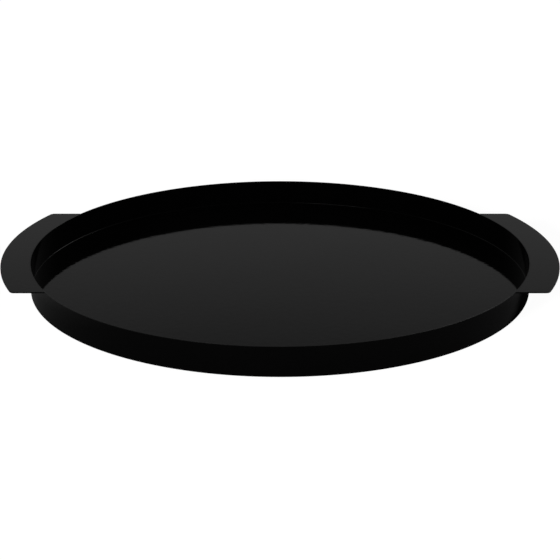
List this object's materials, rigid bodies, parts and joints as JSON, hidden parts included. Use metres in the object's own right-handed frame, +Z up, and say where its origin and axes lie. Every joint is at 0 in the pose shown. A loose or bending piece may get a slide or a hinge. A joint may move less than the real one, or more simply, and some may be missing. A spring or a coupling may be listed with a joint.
{
  "type": "serving tray",
  "caption": "Round, flat-bottomed serving tray with a low upright rim and two flat crescent side handles level with the rim, in black powder-coated sheet steel.",
  "frame": {"origin": "on the surface that the tray stands on, under the centre of its round base", "axes": "+Z up, out of the tray's open top; +X from the centre to the handle that hides the wall's butt seam, so the two handles lie along +X and -X; +Y across the handles"},
  "size_m": [0.5, 0.45, 0.025],
  "materials": {
    "coated_sheet": "gloss",
    "coated_weld": "satin"
  },
  "bodies": {
    "root": {"base_plate": "coated_sheet", "wall_band": "coated_sheet", "handle_right": "coated_sheet", "handle_left": "coated_sheet", "wall_seam_weld": "coated_weld", "base_weld_bead": "coated_weld", "handle_right_weld_1": "coated_weld", "handle_right_weld_2": "coated_weld", "handle_right_weld_3": "coated_weld", "handle_left_weld_1": "coated_weld", "handle_left_weld_2": "coated_weld", "handle_left_weld_3": "coated_weld"}
  },
  "joints": []
}
